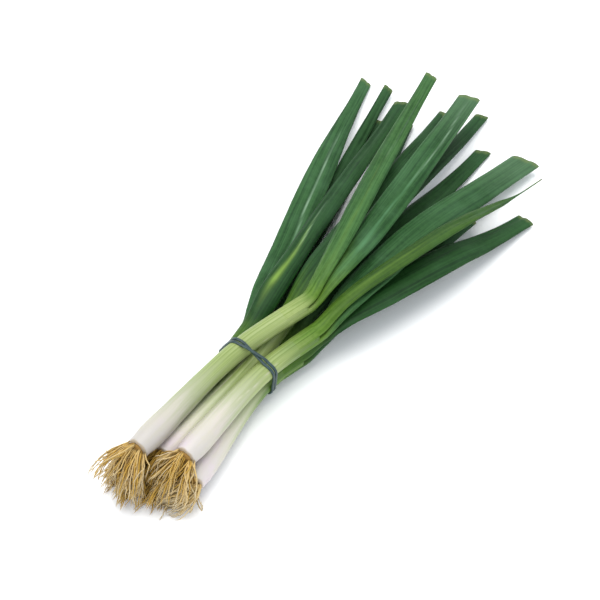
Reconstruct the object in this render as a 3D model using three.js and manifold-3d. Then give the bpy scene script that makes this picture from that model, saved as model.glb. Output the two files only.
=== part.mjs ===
// A bunch of seven spring onions that lies on a table, tied by one rubber band wound twice.
// Millimetres, +Z up. The bunch points along +Y, from its roots to its cut leaf tips.
// Each onion is a shank (the white bulb and the pale stem), a tuft of roots and two or three leaves.
// A piece starts as a straight cylinder and is carried along its own curve. The leaves are laid
// from the lowest to the highest, and each one rests on what is already there.
import * as THREE from 'three';
import { mergeVertices } from 'three/addons/utils/BufferGeometryUtils.js';
import Module from 'manifold-3d';

const wasm = await Module();
wasm.setup();

// Driving dimensions
const GAP = 0.3; // clear space between pieces that touch
const NECK_RADIUS = 5.85; // a shank under the rubber band and at its collar
const BULB_LENGTH = 55; // from the root plate to where the bulb has thinned to the neck
const PLATE_RADIUS = 5.2;
const PLATE_LENGTH = 2.4;
const SHANK_SIDES = 12;
const SHANK_RINGS = 10;
const SHANK_CROWDING = 0.5; // how much closer the rings stand at the bulb

const LEAF_SIDES = 10;
const LEAF_RINGS = 11;
const LEAF_CROWDING = 0.35; // how much closer the rings stand at the collar
const LEAF_FLATNESS = 0.36; // a leaf's thickness over its width
const LEAF_THICKEST = 4.8;
const LEAF_THINNEST = 2.0;
const LEAF_WALL = 0.9; // round the hollow in a cut tip
const HOLLOW_DEPTH = 14;
const HOLLOW_RINGS = 2;
const CUT_THROUGH = 2; // length by which a hollow passes its open end
const NARROWS_FROM = 0.5; // share of a leaf at which it starts to narrow to its tip
const SLANTS_FROM = 0.8; // share of a leaf at which its cut's slant starts
const LEAF_OPENING = 34; // length in which a leaf goes from its slice of the stem to a flat tube
const LEAVING_SHARE = 0.14; // how far a leaf keeps its stem's heading, as a share of its way
const ARRIVING_SHARE = 0.5; // how far back from its tip a leaf is bowed
const LEAF_DROOP = 0.0007; // fall of a free leaf per square millimetre of its length
const STATION = 4; // spacing of the places where a leaf's height is worked out
const EASING = 7; // stations on each side over which a leaf eases over a bump
const CELL = 1; // grid of the height map
const CELL_ROW = 4096; // cells in a row of that grid

const ROOTS_PER_ONION = 17;
const ROOT_RADIUS = 0.62;
const ROOT_LENGTH = 27;
const ROOT_WAVE = 0.36; // change of a root's heading at each knot
const ROOT_SAG = 0.16;
const ROOT_STEPS = 4;
const ROOT_SIDES = 3;
const ROOT_TIP = 0.85; // a root's tip over its thickness at the plate
const ROOT_SHORTEST = 0.75;
const ROOT_LONGEST = 1.05; // both as shares of ROOT_LENGTH
const ROOT_TURN = 2.4; // radians from one root to the next round the plate
const ROOT_JITTER = 0.5;
const ROOT_SPREAD = 0.7; // how far the outermost roots splay
const ROOT_RING = 0.62; // share of the plate's radius on which the outermost roots stand
const ROOT_DEPTH = 0.45; // share of the plate's thickness at which the roots start
const ROOT_SIDE_ROOM = 1.5; // a root's half thickness with its bends, next to another tuft
const ROOT_TABLE_ROOM = 1.1; // the same over the table
const PLATE_TAPER = 0.8;

const BAND_WIDTH = 2.0;
const BAND_THICKNESS = 1.4;
const BAND_SPACING = 2.5; // between the two windings
const BAND_SLACK = 0.5; // clear of the shanks, which pass under it a little aslant
const BAND_STEPS = 84;
const BAND_SIDES = 5;
const BAND_CROSSING = 0.148; // where the windings cross, as a share of the way round
const CROSSING_REACH = 9.5; // length of the upper winding's climb over the lower one
const CHANGE_OVER = 6; // how quickly one winding turns into the other where they cross
const RING_RADIUS = 10; // of the ring that the band is bent from
const HULL_STEPS = 120; // directions in which the taut band's line is worked out
const HULL_REACH = 2; // length of each shank that the band bears on, to each side of its middle
const BAND_SEARCH_STEPS = 400;

const TABLE_SIZE = [400, 800, 40];

// A small seeded generator's own numbers
const RANDOM_FACTOR = 1664525;
const RANDOM_STEP = 1013904223;
const RANDOM_RANGE = 2 ** 32;
const ROOTS_SEED = 7;

// The onions, from the lowest to the highest. base, band and collar are points of the shank's
// centre line: at the root plate, under the rubber band and where the leaves part. lean turns
// the cuts between the leaves away from level. Leaves are listed from the lowest, each with its
// tip's x and y, its width in the middle and at the tip, its roll at the tip in degrees, its
// sideways bow in degrees and the slant of its cut. A withered leaf isn't cut: it ends in a dry point.
const ONIONS = [
  {
    name: 'g', bulb: 6.6, base: [-11.6, -77, 6.1], band: [-14.3, 8.1], collar: [-15.8, 22, 8.4], lean: -12,
    leaves: [
      { tip: [-52, 206], width: 14.5, tipWidth: 8, roll: 4, bow: -2, slant: 0.3 },
      { tip: [-61, 230], width: 10, tipWidth: 6.5, roll: -6, bow: -1, slant: -0.5 },
    ],
  },
  {
    name: 'f', bulb: 6.6, base: [2.3, -72, 6.0], band: [-1.9, 7.9], collar: [1.6, 32, 8.2], lean: 8,
    leaves: [
      { tip: [-37, 212], width: 16, tipWidth: 9, roll: 3, bow: 2, slant: 0.4 },
      { tip: [32, 200], width: 14.5, tipWidth: 9, roll: 2, bow: 2, slant: -0.4 },
      { tip: [13, 221], width: 15, tipWidth: 9, roll: -4, bow: 3, slant: 0.5 },
    ],
  },
  {
    name: 'd', bulb: 7.4, base: [16.4, -75, 13.2], band: [9.3, 12.9], collar: [14, 24, 11.4], lean: 14,
    rootSweep: -0.16,
    leaves: [
      { tip: [38, 168], width: 14.5, tipWidth: 9, roll: -3, bow: 2, slant: -0.3 },
      { tip: [62, 190], width: 18, tipWidth: 9.5, roll: 2, bow: 6, slant: 0.2 },
    ],
  },
  {
    name: 'e', bulb: 6.6, base: [-18.6, -79, 19.2], band: [-13.0, 20.2], collar: [-14.2, 16, 20.6], lean: -20,
    leaves: [
      { tip: [-77, 229], width: 16.5, tipWidth: 7, roll: -5, bow: -1, slant: -0.6 },
      { tip: [-46, 221], width: 15, tipWidth: 10, roll: 4, bow: 1, slant: 0.3 },
    ],
  },
  {
    name: 'b', bulb: 7.0, base: [-3.7, -74.4, 20.6], band: [-0.6, 20.1], collar: [-2.6, 37, 20.2], lean: 16,
    leaves: [
      { tip: [-3, 245], width: 14, tipWidth: 8, roll: -3, bow: 4, slant: 0.4 },
      { tip: [-12, 219], width: 15, tipWidth: 11.5, roll: 5, bow: 2, slant: -0.2 },
    ],
  },
  {
    name: 'c', bulb: 7.2, base: [10.0, -72.4, 28.4], band: [10.6, 25.7], collar: [17.6, 34, 24.4], lean: 24,
    leaves: [
      { tip: [40, 225], width: 19, tipWidth: 15, roll: -4, bow: -5, slant: 0.5 },
      { tip: [55, 219], width: 10.5, tipWidth: 1.6, roll: 6, bow: 4, slant: 0, withered: true },
    ],
  },
  {
    name: 'a', bulb: 7.4, base: [-11.0, -85.5, 33.9], band: [-6.8, 31.6], collar: [5.2, 42, 33.2], lean: 32,
    leaves: [
      { tip: [-6, 233], width: 15.5, tipWidth: 12, roll: -6, bow: 3, slant: 0.3 },
      { tip: [-36, 238], width: 11.5, tipWidth: 7.5, roll: 6, bow: 0, slant: -0.5 },
    ],
  },
];

// Bulb radius along a shank, as [distance from the plate, share of the way from neck to bulb].
const BULB_SWELL = [[0, -0.4], [2, 0.35], [6, 0.86], [13, 1], [24, 0.8], [38, 0.38], [BULB_LENGTH, 0]];

const UP = new THREE.Vector3(0, 0, 1);
const { degToRad, lerp, smoothstep } = THREE.MathUtils;
const ease = (share) => smoothstep(share, 0, 1);

// A seeded generator, so that every run draws the same roots.
function seeded(seed) {
  let state = seed;
  return () => {
    state = (Math.imul(state, RANDOM_FACTOR) + RANDOM_STEP) >>> 0;
    return state / RANDOM_RANGE;
  };
}

// Value at x on a line through [x, value] knots.
function along(knots, x) {
  const next = knots.findIndex(([knot]) => knot >= x);
  if (next < 0) return knots.at(-1)[1];
  if (next === 0) return knots[0][1];
  const [[x0, v0], [x1, v1]] = [knots[next - 1], knots[next]];
  return lerp(v0, v1, (x - x0) / (x1 - x0));
}

// Moves every shared vertex of a closed straight form by place(point).
function bend(geometry, place) {
  geometry.deleteAttribute('normal');
  geometry.deleteAttribute('uv');
  const form = mergeVertices(geometry, 1e-4);
  const vertices = form.getAttribute('position');
  const point = new THREE.Vector3();
  for (let i = 0; i < vertices.count; i += 1) {
    place(point.fromBufferAttribute(vertices, i));
    vertices.setXYZ(i, point.x, point.y, point.z);
  }
  return form;
}

function toSolid(form) {
  return new wasm.Manifold(new wasm.Mesh({
    numProp: 3,
    vertProperties: new Float32Array(form.getAttribute('position').array),
    triVerts: new Uint32Array(form.index.array),
  }));
}

function toGeometry(solid) {
  const mesh = solid.getMesh();
  const geometry = new THREE.BufferGeometry();
  geometry.setAttribute('position', new THREE.BufferAttribute(mesh.vertProperties, 3));
  geometry.setIndex(new THREE.BufferAttribute(mesh.triVerts, 1));
  geometry.computeVertexNormals();
  return geometry;
}

const largest = (solid) => solid.decompose().sort((a, b) => b.volume() - a.volume())[0];

// The table's top is flat, and what rests on it has a small flat there.
const tableForm = new THREE.BoxGeometry(...TABLE_SIZE).translate(0, 0, -TABLE_SIZE[2] / 2);
const table = toSolid(bend(tableForm, () => {}));

// Point and axes at a share t of a curve: ahead, across to the right and away from the table.
// Past either end the curve goes straight on.
function frameAt(curve, t) {
  const inside = THREE.MathUtils.clamp(t, 0, 1);
  const ahead = curve.getTangentAt(inside);
  const point = curve.getPointAt(inside).addScaledVector(ahead, (t - inside) * curve.getLength());
  const across = new THREE.Vector3().crossVectors(ahead, UP).normalize();
  return { point, ahead, across, away: new THREE.Vector3().crossVectors(across, ahead) };
}

// Shanks
function shankCurve({ base, band, collar }) {
  const knots = [base, [band[0], 0, band[1]], collar].map((knot) => new THREE.Vector3(...knot));
  return new THREE.CatmullRomCurve3(knots, false, 'centripetal');
}

function shankForm(onion, extra = 0) {
  const length = onion.curve.getLength();
  const straight = new THREE.CylinderGeometry(1, 1, 1, SHANK_SIDES, SHANK_RINGS);
  return bend(straight, (point) => {
    const share = point.y + 0.5;
    const t = lerp(share, share * share, SHANK_CROWDING) + Math.sign(point.y) * extra / length;
    const { point: centre, across, away } = frameAt(onion.curve, t);
    const swell = along(BULB_SWELL, t * length) * (onion.bulb - NECK_RADIUS);
    const radius = NECK_RADIUS + Math.max(swell, PLATE_RADIUS - NECK_RADIUS) + extra;
    point.copy(centre.addScaledVector(across, point.x * radius).addScaledVector(away, point.z * radius));
  });
}

// Leaves
// Edge of a slice of the stem's disc, seen from the slice's middle, in the direction of an angle
// from the disc's own upward axis. The slice lies between two heights, low and high.
function slicePoint(angle, slice, extra) {
  const middle = (slice.low + slice.high) / 2;
  const [sin, cos] = [Math.sin(angle), Math.cos(angle)];
  const radius = NECK_RADIUS + extra;
  const toDisc = -middle * cos + Math.sqrt(radius ** 2 - (middle * sin) ** 2);
  const half = (slice.high - slice.low) / 2 + extra;
  const reach = Math.min(toDisc, half / Math.max(Math.abs(cos), 1e-6));
  return [reach * sin, reach * cos];
}

// Half width and half thickness of the flattened tube at a share t of a leaf.
function tubeSize(leaf, t) {
  const width = lerp(leaf.width, leaf.tipWidth, ease((t - NARROWS_FROM) / (1 - NARROWS_FROM)));
  const thickness = THREE.MathUtils.clamp(width * LEAF_FLATNESS, LEAF_THINNEST, LEAF_THICKEST);
  return [width / 2, thickness / 2];
}

// A point of a leaf's outline at a share t, across the leaf and through its thickness.
function sectionPoint(leaf, angle, t, extra) {
  const opened = ease((t * leaf.length) / LEAF_OPENING);
  const [sliceX, sliceZ] = slicePoint(angle, leaf.slice, extra);
  const [halfWidth, halfThickness] = tubeSize(leaf, t);
  const tubeX = (halfWidth + extra) * Math.sin(angle);
  const tubeZ = (halfThickness + extra) * Math.cos(angle);
  return [lerp(sliceX, tubeX, opened), lerp(sliceZ, tubeZ, opened)];
}

const rollAt = (leaf, t) => {
  const turned = ease((t * leaf.length) / (2 * LEAF_OPENING));
  return degToRad(lerp(leaf.lean, leaf.roll, turned));
};

// The solid form of a leaf between two shares of its length, made fatter by extra.
function leafForm(leaf, extra = 0, from = 0, to = 1, rings = LEAF_RINGS) {
  const straight = new THREE.CylinderGeometry(1, 1, 1, LEAF_SIDES, rings);
  return bend(straight, (point) => {
    const share = point.y + 0.5;
    const crowded = lerp(share, share * share, LEAF_CROWDING);
    const t = lerp(from, to, crowded) + Math.sign(point.y) * extra / leaf.length;
    const angle = Math.atan2(point.x, point.z);
    const filled = Math.hypot(point.x, point.z);
    const [x, z] = sectionPoint(leaf, angle, t, extra).map((value) => value * filled);
    const slanting = ease((t - SLANTS_FROM) / (1 - SLANTS_FROM));
    const slanted = t + (leaf.slant * x * slanting) / leaf.length;
    const { point: centre, across, away } = frameAt(leaf.curve, slanted);
    const roll = rollAt(leaf, t);
    const [right, out] = [x * Math.cos(roll) - z * Math.sin(roll), x * Math.sin(roll) + z * Math.cos(roll)];
    point.copy(centre.addScaledVector(across, right).addScaledVector(away, out));
  });
}

// The top of everything that is laid so far, on a square grid over the table.
class HeightMap {
  constructor() {
    this.cells = new Map();
  }

  static key(x, y) {
    return Math.round(x / CELL) * CELL_ROW + Math.round(y / CELL);
  }

  raise(form) {
    const vertices = form.getAttribute('position');
    const corners = [0, 1, 2].map(() => new THREE.Vector3());
    const sides = [new THREE.Vector3(), new THREE.Vector3()];
    for (let i = 0; i < form.index.count; i += 3) {
      corners.forEach((corner, k) => corner.fromBufferAttribute(vertices, form.index.getX(i + k)));
      sides.forEach((side, k) => side.subVectors(corners[k + 1], corners[0]));
      const steps = Math.ceil(Math.max(sides[0].length(), sides[1].length()) / CELL) + 1;
      for (let a = 0; a <= steps; a += 1) {
        for (let b = 0; a + b <= steps; b += 1) {
          const spot = corners[0].clone();
          spot.addScaledVector(sides[0], a / steps).addScaledVector(sides[1], b / steps);
          const key = HeightMap.key(spot.x, spot.y);
          this.cells.set(key, Math.max(this.cells.get(key) ?? 0, spot.z));
        }
      }
    }
  }

  // Highest thing within one cell of a place. The table itself is a little lower than zero here,
  // so that a leaf which lies on it is flattened there.
  top(x, y) {
    let height = -2 * GAP;
    for (const dx of [-CELL, 0, CELL]) {
      for (const dy of [-CELL, 0, CELL]) {
        height = Math.max(height, this.cells.get(HeightMap.key(x + dx, y + dy)) ?? height);
      }
    }
    return height;
  }
}

// The leaf's way in plan: out of the stem, then in a slight bow to its tip.
function planCurve(start, heading, tip, bow) {
  const flat = (vector) => new THREE.Vector2(vector.x, vector.y);
  const from = flat(start);
  const to = new THREE.Vector2(...tip);
  const chord = to.clone().sub(from);
  const leaving = flat(heading).normalize().multiplyScalar(chord.length() * LEAVING_SHARE);
  const arriving = chord.clone().multiplyScalar(ARRIVING_SHARE);
  arriving.rotateAround(new THREE.Vector2(), degToRad(bow));
  return new THREE.CubicBezierCurve(from, from.clone().add(leaving), to.clone().sub(arriving), to);
}

// Lays a leaf on the height map: it leaves its stem, droops, and eases over what is under it.
function layLeaf(leaf, heights) {
  const { point: start, ahead } = leaf.root;
  const plan = planCurve(start, ahead, leaf.tip, leaf.bow);
  leaf.length = plan.getLength();
  const count = Math.ceil(leaf.length / STATION);
  const angles = Array.from({ length: 2 * LEAF_SIDES }, (_, k) => (Math.PI * k) / LEAF_SIDES);
  const stations = Array.from({ length: count + 1 }, (_, i) => {
    const t = i / count;
    const distance = t * leaf.length;
    const spot = plan.getPointAt(t);
    const way = plan.getTangentAt(t);
    const roll = rollAt(leaf, t);
    const needs = angles.map((angle) => {
      const [x, z] = sectionPoint(leaf, angle, t, 0);
      const right = x * Math.cos(roll) - z * Math.sin(roll);
      const out = x * Math.sin(roll) + z * Math.cos(roll);
      return heights.top(spot.x + way.y * right, spot.y - way.x * right) + GAP - out;
    });
    const free = start.z + ahead.z * distance - LEAF_DROOP * distance ** 2;
    return { spot, distance, free, height: Math.max(free, ...needs) };
  });
  const near = (i) => stations.slice(Math.max(0, i - EASING), i + EASING + 1);
  const cleared = stations.map((_, i) => Math.max(...near(i).map((station) => station.height)));
  stations.forEach((station, i) => { station.cleared = cleared[i]; });
  const knots = stations.map((station, i) => {
    const eased = near(i).reduce((sum, other) => sum + other.cleared, 0) / near(i).length;
    const height = lerp(station.free, eased, ease(station.distance / LEAF_OPENING));
    return new THREE.Vector3(station.spot.x, station.spot.y, height);
  });
  leaf.curve = new THREE.CatmullRomCurve3(knots, false, 'centripetal');
  leaf.length = leaf.curve.getLength();
}

// Slices the stem's disc into one slice for each leaf, the lowest first.
function sliceStem(onion) {
  const { point, ahead, across, away } = frameAt(onion.curve, 1);
  const lean = degToRad(onion.lean);
  const slope = across.clone().multiplyScalar(-Math.sin(lean)).addScaledVector(away, Math.cos(lean));
  const thickness = (2 * NECK_RADIUS) / onion.leaves.length;
  onion.leaves.forEach((leaf, k) => {
    const low = k === 0 ? -NECK_RADIUS : -NECK_RADIUS + k * thickness + GAP / 2;
    const high = k === onion.leaves.length - 1 ? NECK_RADIUS : -NECK_RADIUS + (k + 1) * thickness - GAP / 2;
    leaf.slice = { low, high };
    leaf.lean = onion.lean;
    const start = point.clone().addScaledVector(ahead, GAP).addScaledVector(slope, (low + high) / 2);
    leaf.root = { point: start, ahead };
  });
}

function leafSolid(leaf) {
  const whole = toSolid(leafForm(leaf));
  if (leaf.withered) return whole;
  const hollowStart = 1 - HOLLOW_DEPTH / leaf.length;
  const hollow = leafForm(leaf, -LEAF_WALL, hollowStart, 1 + CUT_THROUGH / leaf.length, HOLLOW_RINGS);
  return whole.subtract(toSolid(hollow));
}

// Roots
// Keeps a root's knot on its own onion's side of the plane midway to each other onion.
function keepOwnSide(knot, onion) {
  const reach = ROOT_SIDE_ROOM * ROOT_RADIUS + GAP / 2;
  ONIONS.filter((other) => other !== onion).forEach((other) => {
    const away = new THREE.Vector2(other.base[0] - onion.base[0], other.base[2] - onion.base[2]);
    const share = onion.bulb / (onion.bulb + other.bulb);
    const limit = away.length() * share - reach;
    away.normalize();
    const over = (knot.x - onion.base[0]) * away.x + (knot.z - onion.base[2]) * away.y - limit;
    if (over > 0) {
      knot.x -= over * away.x;
      knot.z -= over * away.y;
    }
  });
  knot.z = Math.max(knot.z, ROOT_TABLE_ROOM * ROOT_RADIUS);
}

function rootsSolid(onion, random) {
  const { point, ahead, across, away } = frameAt(onion.curve, 0);
  const back = ahead.clone().negate();
  const plateAxis = new THREE.LineCurve3(
    point.clone().addScaledVector(back, GAP + PLATE_LENGTH),
    point.clone().addScaledVector(back, GAP),
  );
  const plate = bend(new THREE.CylinderGeometry(1, PLATE_TAPER, 1, SHANK_SIDES, 1), (spot) => {
    const { point: centre } = frameAt(plateAxis, spot.y + 0.5);
    const x = spot.x * PLATE_RADIUS;
    const z = spot.z * PLATE_RADIUS;
    spot.copy(centre.addScaledVector(across, x).addScaledVector(away, z));
  });
  let solid = toSolid(plate);
  for (let i = 0; i < ROOTS_PER_ONION; i += 1) {
    const turn = i * ROOT_TURN + random() * ROOT_JITTER;
    const spread = Math.sqrt((i + 0.5) / ROOTS_PER_ONION);
    const out = across.clone().multiplyScalar(Math.cos(turn)).addScaledVector(away, Math.sin(turn));
    const heading = back.clone().addScaledVector(out, spread * ROOT_SPREAD).normalize();
    const knot = plateAxis.getPoint(ROOT_DEPTH).addScaledVector(out, spread * PLATE_RADIUS * ROOT_RING);
    const step = (ROOT_LENGTH * lerp(ROOT_SHORTEST, ROOT_LONGEST, random())) / ROOT_STEPS;
    const knots = [knot.clone()];
    for (let k = 0; k < ROOT_STEPS; k += 1) {
      heading.x += lerp(-ROOT_WAVE, ROOT_WAVE, random()) + (onion.rootSweep ?? 0);
      heading.z += lerp(-ROOT_WAVE, ROOT_WAVE, random()) - ROOT_SAG;
      heading.normalize();
      knot.addScaledVector(heading, step);
      keepOwnSide(knot, onion);
      knots.push(knot.clone());
    }
    const curve = new THREE.CatmullRomCurve3(knots, false, 'centripetal');
    const strand = bend(new THREE.CylinderGeometry(ROOT_TIP, 1, 1, ROOT_SIDES, ROOT_STEPS), (spot) => {
      const { point: centre, across: side, away: rise } = frameAt(curve, spot.y + 0.5);
      const [x, z] = [spot.x * ROOT_RADIUS, spot.z * ROOT_RADIUS];
      spot.copy(centre.addScaledVector(side, x).addScaledVector(rise, z));
    });
    solid = solid.add(toSolid(strand));
  }
  return largest(solid.subtract(table));
}

// Rubber band
// The taut line round all the shanks: in every direction it touches the shank that reaches out most.
function tautLoop() {
  const points = [];
  const stretch = NECK_RADIUS + BAND_SLACK + BAND_THICKNESS / 2;
  const shifts = [-HULL_REACH, 0, HULL_REACH];
  const centres = ONIONS.flatMap(({ curve, bandShare }) => shifts.map(
    (shift) => curve.getPointAt(bandShare + shift / curve.getLength()),
  ));
  for (let i = 0; i < HULL_STEPS; i += 1) {
    const angle = (2 * Math.PI * i) / HULL_STEPS;
    const out = new THREE.Vector2(Math.cos(angle), Math.sin(angle));
    const reach = (centre) => centre.x * out.x + centre.z * out.y;
    const furthest = centres.reduce((best, centre) => (reach(centre) > reach(best) ? centre : best));
    points.push(new THREE.Vector2(furthest.x, furthest.z).addScaledVector(out, stretch));
  }
  return new THREE.Path([...points, points[0]]);
}

function bandForm() {
  const loop = tautLoop();
  const girth = loop.getLength();
  const ring = new THREE.TorusGeometry(RING_RADIUS, 1, BAND_SIDES, BAND_STEPS);
  return bend(ring, (point) => {
    const turn = Math.atan2(point.y, point.x);
    const radial = (Math.hypot(point.x, point.y) - RING_RADIUS) * (BAND_THICKNESS / 2);
    const axial = point.z * (BAND_WIDTH / 2);
    const share = THREE.MathUtils.euclideanModulo(turn / Math.PI - 0.5 + BAND_CROSSING, 1);
    const centre = loop.getPointAt(share);
    const way = loop.getTangentAt(share);
    const beside = (BAND_SPACING / 2) * THREE.MathUtils.clamp(CHANGE_OVER * Math.cos(turn), -1, 1);
    const fromCrossing = (Math.abs(turn - Math.PI / 2) / Math.PI) * girth;
    const climb = (BAND_THICKNESS + GAP) * ease((CROSSING_REACH - fromCrossing) / (CROSSING_REACH / 2));
    const out = radial + climb;
    point.set(centre.x + way.y * out, beside - axial, centre.y - way.x * out);
  });
}

// Materials
const material = (color, roughness) => new THREE.MeshStandardMaterial({ color, roughness, metalness: 0 });
const shankMaterial = material('#e6ead2', 0.45);
const rootMaterial = material('#c9a86a', 0.9);
const bandMaterial = material('#2f4b4e', 0.5);
const LEAF_COLOURS = ['#2f6b34', '#3c7a3a', '#2a5f35', '#46853f'];

// Assembly
const bunch = new THREE.Group();

function addPiece(name, geometry, pieceMaterial) {
  const piece = new THREE.Mesh(geometry, pieceMaterial);
  piece.name = name;
  bunch.add(piece);
}

// Share of a shank's length at which its centre line passes under the band.
function findBandShare(curve) {
  const shares = Array.from({ length: BAND_SEARCH_STEPS + 1 }, (_, i) => i / BAND_SEARCH_STEPS);
  return shares.reduce((best, t) => (
    Math.abs(curve.getPointAt(t).y) < Math.abs(curve.getPointAt(best).y) ? t : best), 0);
}

ONIONS.forEach((onion) => {
  onion.curve = shankCurve(onion);
  onion.bandShare = findBandShare(onion.curve);
});

const heights = new HeightMap();
const random = seeded(ROOTS_SEED);
const laidSolids = ONIONS.map((onion) => toSolid(shankForm(onion, GAP)));

ONIONS.forEach((onion) => {
  const form = shankForm(onion);
  heights.raise(form);
  addPiece(`onion_${onion.name}_shank`, toGeometry(toSolid(form).subtract(table)), shankMaterial);
  addPiece(`onion_${onion.name}_roots`, toGeometry(rootsSolid(onion, random)), rootMaterial);
  sliceStem(onion);
  onion.leaves.forEach((leaf, k) => {
    layLeaf(leaf, heights);
    heights.raise(leafForm(leaf));
    const trimmed = laidSolids.reduce((solid, laid) => solid.subtract(laid), leafSolid(leaf));
    laidSolids.push(toSolid(leafForm(leaf, GAP)));
    const leafMaterial = material(LEAF_COLOURS[(k + onion.name.charCodeAt(0)) % LEAF_COLOURS.length], 0.5);
    addPiece(`onion_${onion.name}_leaf_${k + 1}`, toGeometry(largest(trimmed.subtract(table))), leafMaterial);
  });
});

addPiece('rubber_band', toGeometry(toSolid(bandForm())), bandMaterial);

// The origin is on the table, under the middle of the bunch's box.
const box = new THREE.Box3().setFromObject(bunch);
const middle = box.getCenter(new THREE.Vector3());
bunch.position.set(-middle.x, -middle.y, -box.min.z);

export default bunch;
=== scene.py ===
"""Looks for a bunch of seven spring onions, tied by a rubber band and lying on a table.

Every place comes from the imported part. Each stem, leaf, tuft of roots and the band is made again
as a fine, smooth piece that follows its own solid, and gets a material worked out from patterns.
Lengths are in metres, +Z is up, and the leaves point along +Y.
"""

import logging
import math
from dataclasses import dataclass, field
from enum import Enum
from typing import Callable, Dict, List, Optional, Sequence, Tuple, Union

import bmesh
import bpy
import numpy as np
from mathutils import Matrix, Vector
from mathutils.bvhtree import BVHTree

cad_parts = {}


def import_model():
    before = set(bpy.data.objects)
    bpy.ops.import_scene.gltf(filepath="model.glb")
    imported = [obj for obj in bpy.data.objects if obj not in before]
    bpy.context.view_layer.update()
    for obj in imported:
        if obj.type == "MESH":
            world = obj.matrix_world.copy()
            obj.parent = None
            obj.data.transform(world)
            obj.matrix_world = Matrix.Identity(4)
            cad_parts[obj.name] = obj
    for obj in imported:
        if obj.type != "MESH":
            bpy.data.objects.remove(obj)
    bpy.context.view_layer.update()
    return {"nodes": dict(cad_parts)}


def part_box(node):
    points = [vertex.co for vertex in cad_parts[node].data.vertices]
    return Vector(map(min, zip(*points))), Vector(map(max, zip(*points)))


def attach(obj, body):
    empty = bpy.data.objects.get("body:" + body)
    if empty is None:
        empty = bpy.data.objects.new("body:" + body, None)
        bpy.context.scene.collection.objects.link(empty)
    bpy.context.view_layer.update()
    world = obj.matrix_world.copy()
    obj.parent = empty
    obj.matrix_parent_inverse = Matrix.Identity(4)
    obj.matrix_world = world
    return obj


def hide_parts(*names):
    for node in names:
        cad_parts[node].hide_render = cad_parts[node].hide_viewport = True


LOG = logging.getLogger("spring_onions")

MM = 0.001
BODY = "root"
MERGE = 1e-6
UP = Vector((0.0, 0.0, 1.0))
TURN = 2 * math.pi
CAST_REACH = 40 * MM
STRAIGHTENING = 3

Colour = Tuple[float, float, float]
Scale = Tuple[float, float, float]
Ramp = Tuple[float, float]
Number = Union[int, float]


# Small helpers


def clamp(value: Number, low: Number, high: Number) -> Number:
    """The nearest value that isn't below low or above high."""
    return min(max(value, low), high)


def ease(value: float, low: float = 0.0, high: float = 1.0) -> float:
    """Goes smoothly from 0 at low to 1 at high."""
    share = clamp((value - low) / (high - low), 0.0, 1.0)
    return share * share * (3 - 2 * share)


def bell(value: float, width: float) -> float:
    """A smooth hill of height 1 over 0."""
    return math.exp(-((value / width) ** 2))


def turned(angle: float) -> float:
    """The same angle, between minus half a turn and half a turn."""
    return (angle + math.pi) % (TURN) - math.pi


class Drift:
    """A slow, seeded wander about zero along a length, as wide as about 1 to each side."""

    def __init__(self, seed: int, wavelength: float) -> None:
        """Draws three waves."""
        random = np.random.default_rng(seed)
        self.waves = [
            (TURN / wavelength * factor, random.uniform(0, TURN), 1 / factor)
            for factor in (0.61, 1.0, 1.83)
        ]

    def __call__(self, length: float) -> float:
        """The wander at a length."""
        total = sum(weight for _, _, weight in self.waves)
        waves = sum(math.sin(rate * length + start) * weight for rate, start, weight in self.waves)
        return waves / total


# Following a solid


def straighten(line: np.ndarray) -> None:
    """Evens out what is rough in a line and keeps its ends."""
    for _ in range(STRAIGHTENING):
        line[1:-1] = (line[:-2] + 2 * line[1:-1] + line[2:]) / 4


def ways_of(line: np.ndarray) -> np.ndarray:
    """A line's directions at its points, each of length 1."""
    ways = np.gradient(line, axis=0)
    return ways / np.linalg.norm(ways, axis=1)[:, None]


def lengths_of(line: np.ndarray) -> np.ndarray:
    """The length gone along a line at each of its points."""
    steps = np.linalg.norm(np.diff(line, axis=0), axis=1)
    return np.concatenate([[0.0], np.cumsum(steps)])


@dataclass
class Cross:
    """Point and axes of a centre line at one length."""

    middle: Vector
    ahead: Vector
    across: Vector
    away: Vector

    def point(self, x: float, z: float) -> Vector:
        """The point at x across and z away from the centre line."""
        return self.middle + self.across * x + self.away * z


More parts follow.
